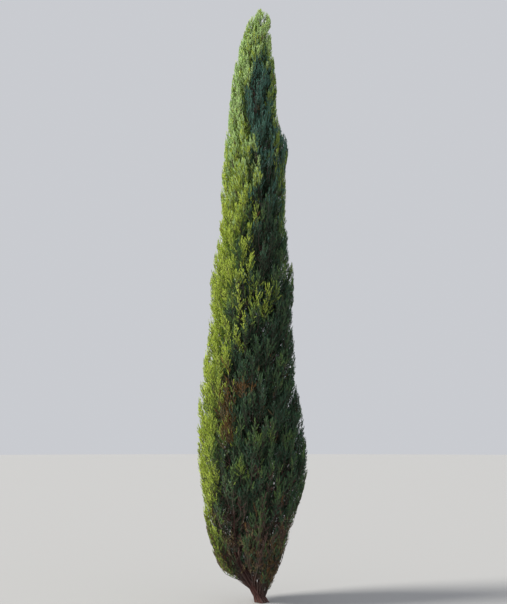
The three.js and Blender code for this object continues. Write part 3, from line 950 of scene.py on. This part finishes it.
# Sprays stand off more, and hang looser, in the lower crown. Of each pair of leans the first is for a shoot's
# foot and the second for its tip. Of the pair of lifts the first is for the upper crown.
SPRAY_SEED = 12
SPRAYED_PART = (0.02, 0.97)
SPRAY_ROLL = 0.4
LOOSE_HEIGHTS, LOOSE_LEAN = (2.8, 4.4), 1.35
SPRAY_LEANS, SPRAY_LEAN_SIZES = (0.8, 0.25), (0.5, 1.3)
SPRAY_LIFTS = (0.25, 0.1)
SMALL_SHOOT, SPRAY_SIZES = 0.6, (0.55, 1.0)
SPRAY_OVERLAP = 0.04
LOWEST_SPRAY = 0.06
SPRAYS_BEFORE_TRUNK = 0.08
INNER_SPRAYS_KEPT = 0.62


def grow_sprays(shoots, settings):
    """Every spray's shoot, root, direction, length and place along its shoot."""
    rng = np.random.default_rng(SPRAY_SEED)
    count, per = len(shoots["plume"]), settings.sprays
    k, t = places_along(rng, count, per, *SPRAYED_PART)
    a, b, c = (shoots[key][:, None] for key in ("root", "middle", "tip"))
    roots = bezier(a, b, c, t)
    axis = unit(mix(b - a, c - b, t[..., None]))
    roll = k * GOLDEN_ANGLE + rng.uniform(0, FULL_TURN, (count, 1))
    roll = roll + rng.uniform(-SPRAY_ROLL, SPRAY_ROLL, k.shape)
    loose = 1 - smoothstep(roots[..., 2], *LOOSE_HEIGHTS)
    lean = mix(*SPRAY_LEANS, t) * rng.uniform(*SPRAY_LEAN_SIZES, k.shape) * mix(1, LOOSE_LEAN, loose)
    direction = leaned(axis, lean, roll) + mix(*SPRAY_LIFTS, loose)[..., None] * UP
    reach = settings.spray_length * mix(SMALL_SHOOT, 1.0, shoots["size"][:, None])
    sprays = dict(
        shoot=np.repeat(np.arange(count), per),
        root=roots.reshape(-1, 3),
        direction=unit(direction).reshape(-1, 3),
        reach=(reach * rng.uniform(*SPRAY_SIZES, k.shape)).ravel(),
        along=t.ravel(),
    )
    tips = sprays["root"] + sprays["direction"] * sprays["reach"][:, None]
    owner, border = space_at(tips)
    own = shoots["plume"][sprays["shoot"]]
    kept = ((owner == own) | (border < SPRAY_OVERLAP)) & (share_out(tips) < 1) & (tips[:, 2] < TREE_HEIGHT)
    kept &= ~before_trunk(sprays["root"]) | (rng.random(len(own)) < SPRAYS_BEFORE_TRUNK)
    kept &= sprays["root"][:, 2] > LOWEST_SPRAY
    kept &= (shoots["inner"][sprays["shoot"]] == 0) | (rng.random(len(own)) < INNER_SPRAYS_KEPT)
    return taken(sprays, kept)


CORD_SEED = 13
CORDED_PART = (0.05, 0.93)
CORD_RISE, CORD_CURVE, CORD_LIFT = 0.2, 0.4, 0.15
CORD_LEANS, CORD_LEAN_SIZES = (0.75, 0.2), (0.5, 1.35)
TIP_CORD, CORD_LENGTHS = 0.7, (0.7, 1.15)
CORD_WIDTHS = (0.8, 1.15)
CORD_REACH = 0.984
LOWEST_CORD = 0.02


def grow_cords(sprays, settings):
    """Every cord's spray, root, direction, length and half width."""
    rng = np.random.default_rng(CORD_SEED)
    count, per = len(sprays["root"]), settings.cords
    k, u = places_along(rng, count, per, *CORDED_PART)
    axis = np.broadcast_to(sprays["direction"][:, None], (count, per, 3))
    rise = sprays["reach"][:, None] * u
    roots = sprays["root"][:, None] + axis * rise[..., None]
    roots = roots + UP * (CORD_RISE * rise * u)[..., None]
    axis = unit(axis + CORD_CURVE * u[..., None] * UP)
    roll = k * GOLDEN_ANGLE + rng.uniform(0, FULL_TURN, (count, 1))
    lean = mix(*CORD_LEANS, u) * rng.uniform(*CORD_LEAN_SIZES, k.shape)
    direction = unit(leaned(axis, lean, roll) + CORD_LIFT * UP)
    long = settings.cord_length * mix(1.0, TIP_CORD, u) * rng.uniform(*CORD_LENGTHS, k.shape)
    wide = settings.cord_width * rng.uniform(*CORD_WIDTHS, k.shape)
    cords = dict(
        spray=np.repeat(np.arange(count), per),
        root=roots.reshape(-1, 3),
        direction=direction.reshape(-1, 3),
        long=long.ravel(),
        wide=wide.ravel(),
        roll=rng.uniform(0, FULL_TURN, count * per),
    )
    tips = cords["root"] + cords["direction"] * cords["long"][:, None]
    kept = (tips[:, 2] < TREE_HEIGHT) & (cords["root"][:, 2] > LOWEST_CORD) & (share_out(tips) < CORD_REACH)
    return taken(cords, kept)


# Old sprays: some on every shoot's wood, and a core of them all through the crown, closer together low down;
# away from the painted sunlight they are painted dark as shade.
OLD_SEED = 135
OLD_ON_SHOOT, OLD_PLACES, OLD_RISE = 3, (0.3, 0.98), 0.05
CORE_COUNT = 5800
CORE_HEIGHTS, CORE_OUT, CORE_TILT = (0.26, 6.0), (0.05, 0.86), 0.2
LOW_CORE, LOW_CORE_MORE = 1, 4.4
OLD_BREADTHS = (0.045, 0.062)
OLD_LEANS, OLD_LIFT = (0.3, 0.9), 0.4
OLD_LENGTHS, OLD_HEIGHTS = (0.1, 0.17), (0.24, TREE_HEIGHT - 0.3)
OLD_LIMIT = 0.9
OLD_BEFORE_TRUNK = (0.12, 0.6)
# How much smaller they are, and between which heights or shares of the crown's reach they change.
LOW_OLD_LENGTH, LOW_OLD_HEIGHTS = 0.62, (0.85, 1.25)
LOW_OLD_BREADTH, LOW_OLD_SPAN = 0.8, (0.5, 1.2)
OUTER_OLD_BREADTH, OUTER_OLD_SPAN = 0.6, (0.45, 0.8)
# The cords of an old spray: where each starts, how far it leans and its length, as shares of the spray's.
OLD_CORDS = np.array([
    (0, 0.25, 0.5),
    (0.1, 0.75, 0.42),
    (0.22, 0.7, 0.42),
    (0.36, 0.6, 0.4),
    (0.5, 0.55, 0.38),
    (0.62, 0.5, 0.34),
    (0.7, 0.05, 0.4),
])


def core_for_height(height):
    """How many old sprays of the core the crown holds at a height, beside other heights."""
    return crown(height)[1] ** 2 * (1 + LOW_CORE_MORE * (height < LOW_CORE))


def grow_old_sprays(shoots):
    """Old sprays on the wood within the crown, as coarser cords with the plume and the tint of each."""
    rng = np.random.default_rng(OLD_SEED)
    count, per = len(shoots["plume"]), OLD_ON_SHOOT
    t = mix(*OLD_PLACES, (np.arange(per) + rng.random((count, per))) / per)
    foot, bend, root = (shoots[key][:, None] for key in ("foot", "bend", "root"))
    roots = bezier(foot, bend, root, t).reshape(-1, 3)
    axis = np.broadcast_to(unit(root - foot + OLD_RISE * UP), t.shape + (3,)).reshape(-1, 3)
    broad = np.repeat(OLD_BREADTHS, (len(roots), CORE_COUNT))
    height = heights_of_shares(rng.random(CORE_COUNT), *CORE_HEIGHTS, core_for_height)
    angle = rng.uniform(0, FULL_TURN, CORE_COUNT)
    out = rng.uniform(*CORE_OUT, CORE_COUNT)
    roots = np.concatenate([roots, crown_point(height, angle, out)])
    axis = np.concatenate([axis, leaning(angle, CORE_TILT)])
    count = len(roots)
    lean = rng.uniform(*OLD_LEANS, count)
    axis = unit(leaned(axis, lean, rng.uniform(0, FULL_TURN, count)) + OLD_LIFT * UP)
    height = roots[:, 2]
    long = rng.uniform(*OLD_LENGTHS, count) * mix(LOW_OLD_LENGTH, 1, smoothstep(height, *LOW_OLD_HEIGHTS))
    lowest, highest = OLD_HEIGHTS
    kept = (share_out(roots + axis * long[:, None]) < OLD_LIMIT) & (height > lowest) & (height < highest)
    kept &= ~before_trunk(roots) | (rng.random(count) < mix(*OLD_BEFORE_TRUNK, height / BARE_TRUNK))
    roots, axis, long, broad = roots[kept], axis[kept], long[kept], broad[kept]
    plume, _ = space_at(roots)
    broad = broad * mix(1, OUTER_OLD_BREADTH, smoothstep(share_out(roots), *OUTER_OLD_SPAN))
    broad = broad * mix(LOW_OLD_BREADTH, 1, smoothstep(roots[:, 2], *LOW_OLD_SPAN))
    look = old_tints(roots, rng.random(len(long)))
    first, lean, share = OLD_CORDS.T
    per, count = len(first), len(long)
    roll = rng.uniform(0, FULL_TURN, (count, 1)) + np.arange(per) * GOLDEN_ANGLE
    axes = np.broadcast_to(axis[:, None], (count, per, 3))
    return dict(
        plume=np.repeat(plume, per),
        look=np.repeat(look, per),
        root=(roots[:, None] + axes * (long[:, None] * first)[..., None]).reshape(-1, 3),
        direction=leaned(axes, np.broadcast_to(lean, (count, per)), roll).reshape(-1, 3),
        long=(long[:, None] * share).ravel(),
        wide=np.repeat(long * broad, per),
        roll=rng.uniform(0, FULL_TURN, count * per),
    )


# Tints, with painted sunlight, shade and haze

TINTS = (
    "sunlit_tip", "sunlit", "fresh", "green", "deep", "shade", "inner",
    "rust", "straw", "silver", "blue", "withered",
)
_, _, FRESH, GREEN, _, _, INNER, RUST, STRAW, SILVER, BLUE, WITHERED = range(len(TINTS))

# Painted sunlight and painted shade on plumes in front: place in X, height, half width, half height and how
# much lighter they are painted.
PAINTED_LIGHT_AND_SHADE_PATCHES = (
    (-0.05, 4.48, 0.13, 0.36, 0.45),
    (-0.06, 5.25, 0.1, 0.6, -0.3),
    (-0.15, 5.1, 0.1, 0.32, -0.45),
    (0.08, 4.0, 0.16, 0.9, -0.17),
    (0.06, 2.45, 0.2, 0.4, -0.1),
    (-0.15, 3.76, 0.24, 0.5, 0.45),
    (0.045, 3.0, 0.15, 0.3, 0.5),
    (-0.2, 3.1, 0.22, 0.7, 0.32),
    (-0.28, 2.7, 0.13, 0.5, 0.3),
    (-0.12, 1.3, 0.35, 0.8, 0.06),
    (-0.3, 4.2, 0.16, 0.5, 0.35),
)
# Dead patches in front: place in X, height, half width and half height.
DEAD_PATCHES = (
    (-0.35, 1.85, 0.09, 0.5),
    (-0.21, 2.08, 0.13, 0.1),
)
# Where the band of painted sunlight ends: height and place across the crown, from -1 at its left to 1 at its
# right.
PAINTED_SUNLIGHT_EDGE = np.array([
    (0.9, -0.74),
    (1.4, -0.62),
    (2, -0.55),
    (3, -0.43),
    (3.8, -0.34),
    (4.5, -0.2),
    (5.3, -0.25),
    (5.7, -0.1),
    (6.1, 0.4),
])
# How far inside and outside its edge the band of painted sunlight fades, and between which shares of its size
# a patch does.
PAINTED_SUNLIGHT_FADE = (-0.25, 0.4)
PATCH_FADE = (0.4, 1.0)
DEAD_FADE = (0.4, 1.1)


def in_painted_sunlight(place, shift=0.0):
    """How far each place lies in the band of painted sunlight down the crown's left, from 0 to 1."""
    middle, half = crown(place[:, 2])
    edge = np.interp(place[:, 2], *PAINTED_SUNLIGHT_EDGE.T) + shift
    within, without = PAINTED_SUNLIGHT_FADE
    return 1 - smoothstep((place[:, 0] - middle) / half, edge + within, edge + without)


def in_patch(place, x, z, wide, tall, fade):
    """How far each place lies in a patch in front, from 0 to 1."""
    off = np.hypot((place[:, 0] - x) / wide, (place[:, 2] - z) / tall)
    return (1 - smoothstep(off, *fade)) * (place[:, 1] < 0)


def dying(place):
    """How far each place lies in a dead patch, from 0 to 1."""
    return np.max([in_patch(place, *patch, DEAD_FADE) for patch in DEAD_PATCHES], axis=0)


# Old sprays: how much painted sunlight they take at the top, from what share of it they are painted fresh or
# green rather than dark as painted shade, and how many are dead, dry or brown. Three numbers are a share and
# the heights between which it rises or falls, here and below.
OLD_TOP_SUN, OLD_SUN_HEIGHTS = (0.7, 5.3, 5.9), (0.7, 1.4)
OLD_FRESH, OLD_GREEN = 0.7, 0.35
OLD_DEAD, OLD_DRY, OLD_BROWN = 0.7, (0.3, 0.4, 0.9), (0.65, 0.4, 1.2)


def old_tints(place, any_one):
    """The tint of each old spray: dead, dry or brown near the foot, lighter green as painted sunlight on the
    sunny side and at the top, and dark as painted shade elsewhere.
    """
    height = place[:, 2]
    sunny = np.maximum(in_painted_sunlight(place), rising(height, *OLD_TOP_SUN))
    sunny = sunny * smoothstep(height, *OLD_SUN_HEIGHTS)
    dead = any_one < OLD_DEAD * dying(place)
    dry, brown = any_one < falling(height, *OLD_DRY), any_one < falling(height, *OLD_BROWN)
    cases = [dead, dry, brown, sunny > OLD_FRESH, sunny > OLD_GREEN]
    return np.select(cases, [RUST, STRAW, WITHERED, FRESH, GREEN], INNER)


TINT_SEED = 14
MOTTLE_CELLS, MOTTLE_SEED = (15, 0.13), 17
# How ragged the edge of the painted sunlight is, by shoot and by mottling, and how much less ragged it is
# high up.
RAGGED_TOP, RAGGED_HEIGHTS = 0.5, (4, 5)
RAGGED_SHOOT, RAGGED_MOTTLE = 0.35, 0.25
RIGHT_SIDE = (0.2, 0.7)
# What makes a spray lighter: painted sunlight, its place on its shoot (lighter towards the tip as young
# growth and as painted highlight), its shoot, chance and the mottling. Of each pair of lights or shades the
# first is for the shady side and the second for the sunny one.
SUN_LIGHT, ALONG_LIGHT, SHOOT_LIGHT, CHANCE_LIGHT, MOTTLE_LIGHT = 0.8, 0.12, 0.22, 0.16, (0.34, 0.16)
ALL_LIGHT = 0.03
PATCH_SHOOT, PATCH_CHANCE, PATCH_LEAST = 1.4, 0.6, 0.9
# Painted shade: within the crown, at the sunny side's foot and towards its back.
WITHIN_SHADE = (0.16, 0.08)
FOOT_SHADE, FOOT_HEIGHTS = 0.4, (0.5, 1.15)
BACK_SHADE, BACK_DEPTHS = 0.16, (-0.05, 0.2)
# Painted light: at the top, and on the shady right side higher up.
TOP_LIGHT = (0.4, 5.45, 6.0)
RIGHT_LIGHT, HIGH_RIGHT_LIGHT = (0.2, 2.8, 4.2), (0.1, 4.8, 5.3)
# Where each lighter tint begins, from the darkest painted shade (inner) to the painted sunlit tips.
LIGHT_STEPS = np.array([0.14, 0.28, 0.42, 0.56, 0.7, 0.9])
# Painted haze: the share of sprays high up whose sunlit tints turn silver and whose darker ones turn blue,
# and the heights between which it rises.
PAINTED_HAZE = (0.85, 3.5, 5.1)
BROWN, BROWN_SUN = (0.48, 0.3, 1.4), 0.4
DEAD, DEAD_RUSTY = 0.85, 0.7
# Single dry sprays: anywhere, in the thin foot and more so on its right, within the crown, and low down.
STRAY, STRAY_SPARSE, STRAY_RIGHT = 0.005, 0.1, 0.22
STRAY_WITHIN, STRAY_WITHIN_BELOW = 0.03, 3
STRAY_LOW = (0.15, 0.45, 1.05)
STRAY_RUSTY, STRAY_RUSTY_HEIGHTS = (0.25, 0.5), (0.6, 1.2)


def spray_tints(shoots, sprays):
    """Each spray's tint: yellow as painted sunlight, dark as painted shade, paler and bluer as painted haze
    high up, brown low down or rusty.
    """
    rng = np.random.default_rng(TINT_SEED)
    shoot, place = sprays["shoot"], sprays["root"]
    height = place[:, 2]
    own = rng.random(len(shoots["plume"]))[shoot]
    any_one = rng.random(len(shoot))
    middle, half = crown(height)
    angle = np.arctan2(place[:, 1], place[:, 0] - middle)
    mottle = value_noise(angle / FULL_TURN, height, *MOTTLE_CELLS, MOTTLE_SEED) - 0.5
    ragged = mix(1, RAGGED_TOP, smoothstep(height, *RAGGED_HEIGHTS))
    # sunny: how far each spray lies in the painted sunlight, with a ragged edge.
    sunny = in_painted_sunlight(place, ragged * (RAGGED_SHOOT * (own - 0.5) + RAGGED_MOTTLE * mottle))
    right = smoothstep((place[:, 0] - middle) / half, *RIGHT_SIDE)
    within = shoots["inner"][shoot] > 0

    # light: how light a tint is painted, mostly from painted sunlight and shade, with its shoot, chance and
    # the mottling.
    light = SUN_LIGHT * sunny + ALONG_LIGHT * sprays["along"] + SHOOT_LIGHT * own + CHANCE_LIGHT * any_one
    light += mix(*MOTTLE_LIGHT, sunny) * mottle
    chosen = PATCH_SHOOT * own + PATCH_CHANCE * any_one > PATCH_LEAST
    for *patch, more in PAINTED_LIGHT_AND_SHADE_PATCHES:
        light += more * in_patch(place, *patch, PATCH_FADE) * (chosen | (more < 0))
    light -= mix(*WITHIN_SHADE, sunny) * within
    light += ALL_LIGHT
    light -= falling(height, FOOT_SHADE * sunny, *FOOT_HEIGHTS)
    light -= rising(place[:, 1], BACK_SHADE * sunny, *BACK_DEPTHS)
    light += rising(height, *TOP_LIGHT)
    light += (rising(height, *RIGHT_LIGHT) + rising(height, *HIGH_RIGHT_LIGHT)) * right

    tint = INNER - np.searchsorted(LIGHT_STEPS, light)
    # Painted haze turns the sunlit tints silver and the darker ones blue.
    in_painted_haze = rng.random(len(tint)) < rising(height, *PAINTED_HAZE)
    tint = np.select([in_painted_haze & (tint < FRESH), in_painted_haze & (tint >= GREEN)], [SILVER, BLUE], tint)
    brown = own < falling(height, *BROWN) * mix(1, BROWN_SUN, sunny)
    tint = np.where(brown, WITHERED, tint)
    dead = rng.random(len(tint)) < DEAD * dying(place)
    tint = np.where(dead, np.where(any_one < DEAD_RUSTY, RUST, STRAW), tint)
    stray = STRAY + (STRAY_SPARSE + STRAY_RIGHT * right) * shoots["sparse"][shoot]
    stray += STRAY_WITHIN * within * (height < STRAY_WITHIN_BELOW)
    stray += falling(height, *STRAY_LOW)
    rusty = any_one < mix(*STRAY_RUSTY, smoothstep(height, *STRAY_RUSTY_HEIGHTS))
    return np.where(rng.random(len(tint)) < stray, np.where(rusty, RUST, STRAW), tint)


# Sprays and twigs

STALK_LENGTH, STALK_WIDTH = 0.94, 0.0026
TWIG_SIDES = 3
# Where a twig's rings lie: along its leafless part, and along its leafy part.
LEAFLESS_RINGS, LEAFY_RINGS = np.array([[0, 0.25, 0.5, 0.75, 1]]), np.array([[0.45, 0.95]])
TWIG_RADII = np.array([5.5, 5, 4.4, 3.8, 3.2, 2.4, 1.0]) * 0.001
TWIG_TINTS = ("old_twig", "twig", "young_twig")
TINT_RINGS = 3


class JUNIPER_OT_foliage(Operator):
    """Grow every plume's sprays"""

    bl_idname = "juniper.foliage"
    bl_label = "Sprays"

    def execute(self, context):
        settings = context.scene.juniper_foliage
        colours = context.scene.juniper_colours
        shoots = grow_shoots(settings)
        sprays = grow_sprays(shoots, settings)
        cords = grow_cords(sprays, settings)
        old = grow_old_sprays(shoots)
        plume_of_spray = shoots["plume"][sprays["shoot"]]
        plume_of_cord = plume_of_spray[cords["spray"]]
        tint_of_cord = spray_tints(shoots, sprays)[cords["spray"]]
        dead = (tint_of_cord == RUST) | (tint_of_cord == STRAW)
        leaves = [plain_surface(f"leaf_{name}", getattr(colours, name), *LEAF_GLOSS) for name in TINTS]
        wood = plain_surface("leaf_twig", colours.twig, *TWIG_GLOSS)
        for plume, name in enumerate(PLUME_NAMES):
            held = taken(sprays, plume_of_spray == plume)
            zeros = np.zeros(len(held["reach"]))
            stalks = dict(held, long=held["reach"] * STALK_LENGTH, wide=zeros + STALK_WIDTH, roll=zeros)
            living = (plume_of_cord == plume) & ~dead
            aged = old["plume"] == plume
            points, faces = joined_blades(
                (cords, living, tint_of_cord[living]),
                (stalks, slice(None), len(TINTS)),
                (old, aged, old["look"][aged]),
            )
            node = f"foliage_{name}"
            add_piece(f"sprays_{name}", points, faces, [*leaves, wood], [node])
        points, faces = joined_blades((cords, dead, tint_of_cord[dead] - RUST))
        add_piece("dead_sprays", points, faces, leaves[RUST : STRAW + 1])
        return {"FINISHED"}


class JUNIPER_OT_twigs(Operator):
    """Grow the shoots' wood"""

    bl_idname = "juniper.twigs"
    bl_label = "Twigs"

    def execute(self, context):
        colours = context.scene.juniper_colours
        shoots = grow_shoots(context.scene.juniper_foliage)
        keys = ("foot", "bend", "root", "middle", "tip")
        foot, bend, root, middle, tip = (shoots[key][:, None] for key in keys)
        leafless, leafy = bezier(foot, bend, root, LEAFLESS_RINGS), bezier(root, middle, tip, LEAFY_RINGS)
        lines = np.concatenate([leafless, leafy], axis=1)
        tubes, rings = lines.shape[:2]
        points = tube_points(lines, np.broadcast_to(TWIG_RADII, (tubes, rings)), TWIG_SIDES).reshape(-1, 3)
        faces = ring_faces(tubes, rings, TWIG_SIDES)
        materials = [plain_surface(name, getattr(colours, name), *TWIG_GLOSS) for name in TWIG_TINTS]
        tube, ring = np.divmod(np.arange(len(faces)) // TWIG_SIDES, rings - 1)
        tint = np.minimum((ring + tube % TINT_RINGS) // TINT_RINGS, len(TWIG_TINTS) - 1)
        add_piece("twigs", points, [(faces, tint)], materials)
        return {"FINISHED"}


FLOOR_RADIUS = 90
FLOOR_CORNERS = 96
KEY_TINT = (1.0, 0.97, 0.9)
FARTHEST_SEEN = 300


class JUNIPER_OT_stage(Operator):
    """Set up the pale floor, the soft light and the camera"""

    bl_idname = "juniper.stage"
    bl_label = "Stage"

    def execute(self, context):
        stage = context.scene.juniper_stage
        scene = context.scene
        bpy.ops.mesh.primitive_circle_add(vertices=FLOOR_CORNERS, radius=FLOOR_RADIUS, fill_type="NGON")
        floor = context.object
        floor.name = "floor"
        floor.data.materials.append(plain_surface("floor", stage.floor, *FLOOR_GLOSS))

        world = bpy.data.worlds.new("backdrop")
        world.use_nodes = True
        backdrop = world.node_tree.nodes["Background"]
        backdrop.inputs["Color"].default_value = (*stage.sky, 1)
        backdrop.inputs["Strength"].default_value = stage.fill
        scene.world = world
        scene.view_settings.view_transform = "Standard"

        sun = bpy.data.lights.new("key", "SUN")
        sun.energy = stage.key
        sun.angle = stage.key_spread
        sun.color = KEY_TINT
        key = bpy.data.objects.new("key", sun)
        turn, height = stage.key_turn, stage.key_height
        level = math.cos(height)
        away = Vector((math.sin(turn) * level, -math.cos(turn) * level, math.sin(height)))
        key.rotation_euler = away.to_track_quat("Z", "Y").to_euler()
        scene.collection.objects.link(key)

        camera = bpy.data.objects.new("camera", bpy.data.cameras.new("camera"))
        camera.data.lens = stage.lens
        camera.location = (stage.eye_side, -stage.eye_distance, stage.eye_height)
        camera.rotation_euler = (math.pi / 2 + stage.eye_pitch, 0, 0)
        camera.data.clip_end = FARTHEST_SEEN
        scene.collection.objects.link(camera)
        scene.camera = camera
        return {"FINISHED"}


class JUNIPER_PT_panel(Panel):
    """Lists what grows the tree"""

    bl_label = "Columnar Juniper"
    bl_space_type = "VIEW_3D"
    bl_region_type = "UI"
    bl_category = "Juniper"

    def draw(self, context):
        column = self.layout.column()
        for operator in OPERATORS:
            column.operator(operator.bl_idname)
        for name, group in SETTINGS.items():
            box = self.layout.box()
            for key in group.__annotations__:
                box.prop(getattr(context.scene, name), key)


OPERATORS = (
    JUNIPER_OT_stage,
    JUNIPER_OT_trunk,
    JUNIPER_OT_boughs,
    JUNIPER_OT_foliage,
    JUNIPER_OT_twigs,
    JUNIPER_OT_stems,
)
SETTINGS = {
    "juniper_foliage": JuniperFoliage,
    "juniper_colours": JuniperColours,
    "juniper_bark": JuniperBark,
    "juniper_stage": JuniperStage,
}


def register():
    for group in SETTINGS.values():
        bpy.utils.register_class(group)
    for operator in OPERATORS:
        bpy.utils.register_class(operator)
    bpy.utils.register_class(JUNIPER_PT_panel)
    for name, group in SETTINGS.items():
        setattr(bpy.types.Scene, name, PointerProperty(type=group))


def unregister():
    for name in SETTINGS:
        delattr(bpy.types.Scene, name)
    bpy.utils.unregister_class(JUNIPER_PT_panel)
    for operator in reversed(OPERATORS):
        bpy.utils.unregister_class(operator)
    for group in reversed(SETTINGS.values()):
        bpy.utils.unregister_class(group)


def main():
    register()
    bpy.ops.juniper.stage()
    bpy.ops.juniper.trunk()
    bpy.ops.juniper.boughs()
    bpy.ops.juniper.foliage()
    bpy.ops.juniper.twigs()
    bpy.ops.juniper.stems()


if __name__ == "__main__":
    main()
